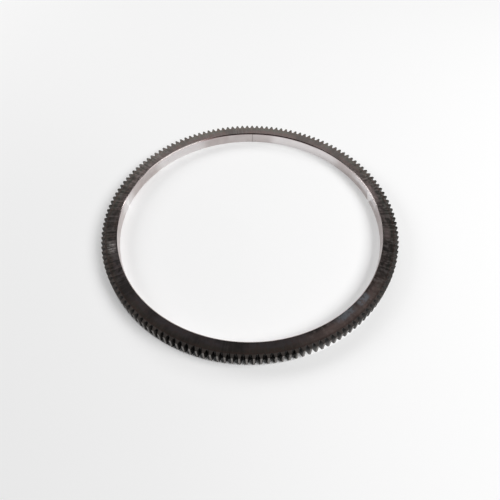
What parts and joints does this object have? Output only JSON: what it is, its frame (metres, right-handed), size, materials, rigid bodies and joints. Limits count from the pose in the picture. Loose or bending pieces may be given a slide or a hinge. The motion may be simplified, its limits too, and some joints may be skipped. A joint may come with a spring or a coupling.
{
  "type": "flywheel ring gear",
  "caption": "Flat steel ring with straight involute teeth round its outside, bevelled on the pinion's side, and a plain chamfered bore that shrinks onto a flywheel rim.",
  "frame": {"origin": "on the ring's axis, in the plane of the back face", "axes": "+Z along the ring's axis, out of the front face that the starter pinion enters from; a tooth is centred on +X"},
  "size_m": [0.468, 0.468, 0.02],
  "materials": {
    "oxide_steel": "turned faces and cut teeth under a dark heat oxide, bore left bright from machining"
  },
  "bodies": {
    "root": {"ring_gear": "oxide_steel"}
  },
  "joints": []
}
